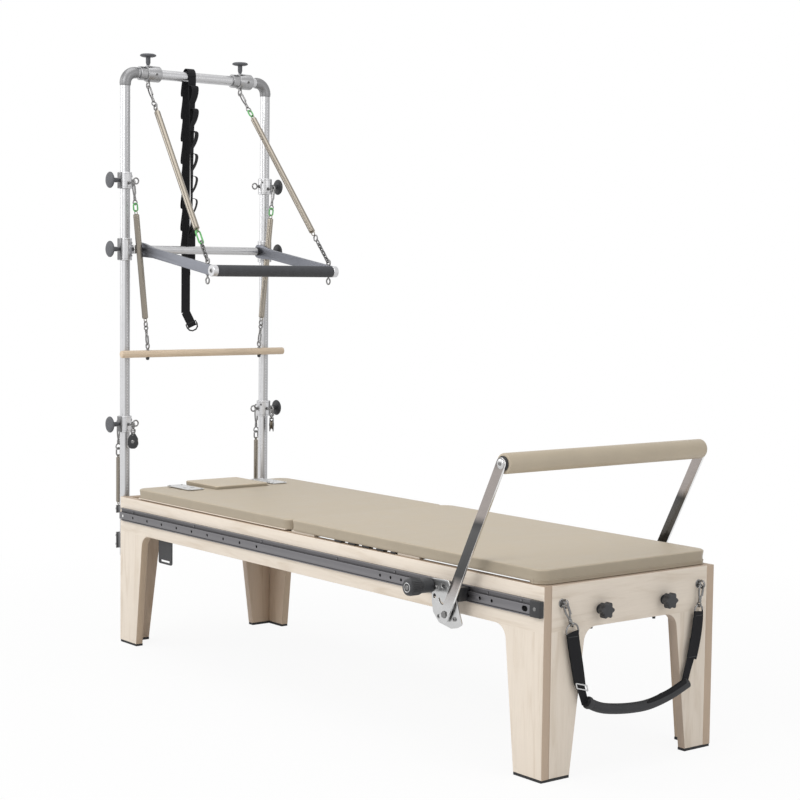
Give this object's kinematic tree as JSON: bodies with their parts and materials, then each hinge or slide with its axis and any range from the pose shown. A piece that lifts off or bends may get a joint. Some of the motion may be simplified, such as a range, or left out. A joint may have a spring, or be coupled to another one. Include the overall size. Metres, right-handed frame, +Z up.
{
  "type": "pilates reformer with half tower",
  "caption": "Wooden pilates reformer bed with sliding carriage, mat section, folding footbar, and a tube half tower with push-through bar, roll-down bar and springs.",
  "frame": {"origin": "on the floor, under the middle of the object's box", "axes": "+X runs along the bed to the foot end, +Y across it to the far side, +Z up"},
  "size_m": [2.5034, 0.9846, 2.2465],
  "materials": {
    "maple": "pale clear-coated maple ply, satin",
    "rubber_feet": "black rubber",
    "grey_rail": "grey anodised",
    "black_metal": "black powder coat",
    "silver_tube": "satin silver",
    "black_knob": "fine moulded texture",
    "wheel_plastic": "moulded",
    "spring_wire": "oiled bronze-toned spring steel",
    "link_steel": "plated steel",
    "dark_foam": "closed-cell foam",
    "dowel_wood": "waxed beech",
    "black_webbing": "woven webbing",
    "beige_vinyl": "grained upholstery vinyl",
    "chrome_steel": "bright chrome plate"
  },
  "bodies": {
    "root": {"side_panel_near": "maple", "side_panel_far": "maple", "end_panel_head": "maple", "end_panel_foot": "maple", "foot_pad_near_head": "rubber_feet", "foot_pad_near_foot": "rubber_feet", "foot_pad_far_head": "rubber_feet", "foot_pad_far_foot": "rubber_feet", "footbar_rail_near": "grey_rail", "footbar_rail_far": "grey_rail", "track_frame": "black_metal", "slotted_plate": "black_metal", "tower_post_near": "silver_tube", "tower_post_far": "silver_tube", "tower_crossbar": "silver_tube", "top_collar_near": "silver_tube", "top_collar_far": "silver_tube", "pivot_collar_near": "silver_tube", "pivot_collar_far": "silver_tube"},
    "top_knob_near": {"top_knob_near": "black_knob"},
    "top_knob_far": {"top_knob_far": "black_knob"},
    "upper_collar_near": {"upper_collar_near": "silver_tube"},
    "upper_collar_far": {"upper_collar_far": "silver_tube"},
    "upper_knob_near": {"upper_knob_near": "black_knob"},
    "upper_knob_far": {"upper_knob_far": "black_knob"},
    "pivot_knob_near": {"pivot_knob_near": "black_knob"},
    "pivot_knob_far": {"pivot_knob_far": "black_knob"},
    "lower_collar_near": {"lower_collar_near": "silver_tube"},
    "lower_collar_far": {"lower_collar_far": "silver_tube"},
    "lower_knob_near": {"lower_knob_near": "black_knob"},
    "lower_knob_far": {"lower_knob_far": "black_knob"},
    "pulley_near": {"pulley_near": "black_knob"},
    "pulley_far": {"pulley_far": "black_knob"},
    "lower_spring_near": {"lower_spring_near": "spring_wire"},
    "lower_spring_far": {"lower_spring_far": "spring_wire"},
    "push_bar": {"push_bar": "silver_tube", "push_bar_grip": "dark_foam"},
    "push_spring_near": {"push_spring_near": "spring_wire"},
    "push_spring_far": {"push_spring_far": "spring_wire"},
    "push_link_near": {"push_link_near": "link_steel"},
    "push_link_far": {"push_link_far": "link_steel"},
    "roll_down_springs": {"roll_down_spring_near": "spring_wire", "roll_down_spring_far": "spring_wire"},
    "roll_down_bar": {"roll_down_bar": "dowel_wood"},
    "loop_strap": {"loop_strap": "black_webbing"},
    "carriage": {"carriage_frame": "chrome_steel", "carriage_pad": "beige_vinyl"},
    "headrest": {"headrest": "beige_vinyl"},
    "wheelset_head": {"wheelset_head": "wheel_plastic"},
    "wheelset_foot": {"wheelset_foot": "wheel_plastic"},
    "mat": {"mat": "beige_vinyl"},
    "footbar_brackets": {"footbar_bracket_near": "chrome_steel", "footbar_bracket_far": "chrome_steel"},
    "footbar": {"footbar": "chrome_steel", "footbar_pad": "beige_vinyl"},
    "footbar_knob_near": {"footbar_knob_near": "black_knob"},
    "footbar_knob_far": {"footbar_knob_far": "black_knob"},
    "star_knob_near": {"star_knob_near": "black_knob"},
    "star_knob_far": {"star_knob_far": "black_knob"},
    "end_strap": {"end_strap": "black_webbing"}
  },
  "joints": [
    {"name": "top_knob_near_pull", "type": "slide", "parent": "root", "child": "top_knob_near", "axis": [0, 0, 1], "range_m": [0, 0.01], "stiffness_N_per_m": 900, "springref_m": -0.004},
    {"name": "top_knob_far_pull", "type": "slide", "parent": "root", "child": "top_knob_far", "axis": [0, 0, 1], "range_m": [0, 0.01], "stiffness_N_per_m": 900, "springref_m": -0.004},
    {"name": "upper_collar_near_slide", "type": "slide", "parent": "root", "child": "upper_collar_near", "axis": [0, 0, 1], "range_m": [-0.06, 0]},
    {"name": "upper_collar_far_slide", "type": "slide", "parent": "root", "child": "upper_collar_far", "axis": [0, 0, 1], "range_m": [-0.06, 0]},
    {"name": "upper_knob_near_pull", "type": "slide", "parent": "upper_collar_near", "child": "upper_knob_near", "axis": [0, -1, 0], "range_m": [0, 0.01], "stiffness_N_per_m": 900, "springref_m": -0.004},
    {"name": "upper_knob_far_pull", "type": "slide", "parent": "upper_collar_far", "child": "upper_knob_far", "axis": [0, 1, 0], "range_m": [0, 0.01], "stiffness_N_per_m": 900, "springref_m": -0.004},
    {"name": "pivot_knob_near_pull", "type": "slide", "parent": "root", "child": "pivot_knob_near", "axis": [0, -1, 0], "range_m": [0, 0.01], "stiffness_N_per_m": 900, "springref_m": -0.004},
    {"name": "pivot_knob_far_pull", "type": "slide", "parent": "root", "child": "pivot_knob_far", "axis": [0, 1, 0], "range_m": [0, 0.01], "stiffness_N_per_m": 900, "springref_m": -0.004},
    {"name": "lower_collar_near_slide", "type": "slide", "parent": "root", "child": "lower_collar_near", "axis": [0, 0, 1], "range_m": [-0.12, 0.03]},
    {"name": "lower_collar_far_slide", "type": "slide", "parent": "root", "child": "lower_collar_far", "axis": [0, 0, 1], "range_m": [-0.12, 0.03]},
    {"name": "lower_knob_near_pull", "type": "slide", "parent": "lower_collar_near", "child": "lower_knob_near", "axis": [0, -1, 0], "range_m": [0, 0.01], "stiffness_N_per_m": 900, "springref_m": -0.004},
    {"name": "lower_knob_far_pull", "type": "slide", "parent": "lower_collar_far", "child": "lower_knob_far", "axis": [0, 1, 0], "range_m": [0, 0.01], "stiffness_N_per_m": 900, "springref_m": -0.004},
    {"name": "pulley_near_swing", "type": "hinge", "parent": "lower_collar_near", "child": "pulley_near", "pos_m": [-1.12655, -0.318, 0.836], "axis": [0, 1, 0], "range_deg": [-50, 5]},
    {"name": "pulley_far_swing", "type": "hinge", "parent": "lower_collar_far", "child": "pulley_far", "pos_m": [-1.12655, 0.318, 0.872], "axis": [0, 1, 0], "range_deg": [-50, 5]},
    {"name": "lower_spring_near_swing", "type": "hinge", "parent": "lower_collar_near", "child": "lower_spring_near", "pos_m": [-1.23855, -0.318, 0.836], "axis": [0, 1, 0], "range_deg": [0, 30]},
    {"name": "lower_spring_far_swing", "type": "hinge", "parent": "lower_collar_far", "child": "lower_spring_far", "pos_m": [-1.23855, 0.318, 0.872], "axis": [0, 1, 0], "range_deg": [0, 30]},
    {"name": "push_bar_pivot", "type": "hinge", "parent": "root", "child": "push_bar", "pos_m": [-1.14855, 0, 1.503], "axis": [0, 1, 0], "range_deg": [0, 30], "stiffness_Nm_per_rad": 60, "springref_deg": -17.19},
    {"name": "push_spring_near_swing", "type": "hinge", "parent": "root", "child": "push_spring_near", "pos_m": [-1.18855, -0.219, 2.127], "axis": [0, 1, 0], "range_deg": [0, 12.5]},
    {"name": "push_spring_far_swing", "type": "hinge", "parent": "root", "child": "push_spring_far", "pos_m": [-1.18855, 0.198, 2.127], "axis": [0, 1, 0], "range_deg": [0, 12.5]},
    {"name": "push_spring_near_stretch", "type": "slide", "parent": "push_spring_near", "child": "push_link_near", "axis": [0.6069, 0, -0.7948], "range_m": [0, 0.16], "deforming": ["push_spring_near"]},
    {"name": "push_spring_far_stretch", "type": "slide", "parent": "push_spring_far", "child": "push_link_far", "axis": [0.6069, 0, -0.7948], "range_m": [0, 0.16], "deforming": ["push_spring_far"]},
    {"name": "roll_down_swing", "type": "hinge", "parent": "upper_collar_near", "child": "roll_down_springs", "pos_m": [-1.12655, 0, 1.753], "axis": [0, 1, 0], "range_deg": [-20, 0]},
    {"name": "roll_down_pull", "type": "slide", "parent": "roll_down_springs", "child": "roll_down_bar", "axis": [0, 0, -1], "range_m": [0, 0.11], "stiffness_N_per_m": 300, "springref_m": -0.05, "deforming": ["roll_down_spring_near", "roll_down_spring_far"]},
    {"name": "loop_strap_swing", "type": "hinge", "parent": "root", "child": "loop_strap", "pos_m": [-1.18855, -0.036, 2.171], "axis": [0, 1, 0], "range_deg": [0, 25]},
    {"name": "carriage_slide", "type": "slide", "parent": "root", "child": "carriage", "axis": [1, 0, 0], "range_m": [-0.09, 0]},
    {"name": "headrest_tilt", "type": "hinge", "parent": "carriage", "child": "headrest", "pos_m": [-0.84855, 0, 0.605], "axis": [0, 1, 0], "range_deg": [0, 35]},
    {"name": "wheelset_head_roll", "type": "hinge", "parent": "carriage", "child": "wheelset_head", "pos_m": [-0.95455, 0, 0.5243], "axis": [0, 1, 0], "range_deg": [-230, 10]},
    {"name": "wheelset_foot_roll", "type": "hinge", "parent": "carriage", "child": "wheelset_foot", "pos_m": [-0.16355, 0, 0.5243], "axis": [0, 1, 0], "range_deg": [-230, 10]},
    {"name": "mat_lift", "type": "slide", "parent": "root", "child": "mat", "axis": [0, 0, 1], "range_m": [0, 0.12]},
    {"name": "footbar_slide", "type": "slide", "parent": "root", "child": "footbar_brackets", "axis": [1, 0, 0], "range_m": [-0.05, 0.2]},
    {"name": "footbar_fold", "type": "hinge", "parent": "footbar_brackets", "child": "footbar", "pos_m": [0.85845, 0, 0.434], "axis": [0, 1, 0], "range_deg": [-30, 64]},
    {"name": "footbar_knob_near_pull", "type": "slide", "parent": "footbar_brackets", "child": "footbar_knob_near", "axis": [0, -1, 0], "range_m": [0, 0.012], "stiffness_N_per_m": 900, "springref_m": -0.004},
    {"name": "footbar_knob_far_pull", "type": "slide", "parent": "footbar_brackets", "child": "footbar_knob_far", "axis": [0, 1, 0], "range_m": [0, 0.012], "stiffness_N_per_m": 900, "springref_m": -0.004},
    {"name": "star_knob_near_turn", "type": "hinge", "parent": "root", "child": "star_knob_near", "pos_m": [1.23, -0.132, 0.476], "axis": [1, 0, 0], "continuous": true},
    {"name": "star_knob_far_turn", "type": "hinge", "parent": "root", "child": "star_knob_far", "pos_m": [1.23, 0.132, 0.476], "axis": [1, 0, 0], "continuous": true},
    {"name": "end_strap_swing", "type": "hinge", "parent": "root", "child": "end_strap", "pos_m": [1.22695, 0, 0.508], "axis": [0, 1, 0], "range_deg": [-30, 0]}
  ],
  "couplings": [
    {"joint": "upper_collar_far_slide", "follows": "upper_collar_near_slide", "ratio": 1},
    {"joint": "push_spring_near_swing", "follows": "push_bar_pivot", "ratio": 0.3993},
    {"joint": "push_spring_far_swing", "follows": "push_bar_pivot", "ratio": 0.3993},
    {"joint": "push_spring_near_stretch", "follows": "push_bar_pivot", "m_per_rad": 0.297},
    {"joint": "push_spring_far_stretch", "follows": "push_bar_pivot", "m_per_rad": 0.297},
    {"joint": "wheelset_head_roll", "follows": "carriage_slide", "rad_per_m": 41.67},
    {"joint": "wheelset_foot_roll", "follows": "carriage_slide", "rad_per_m": 41.67}
  ]
}
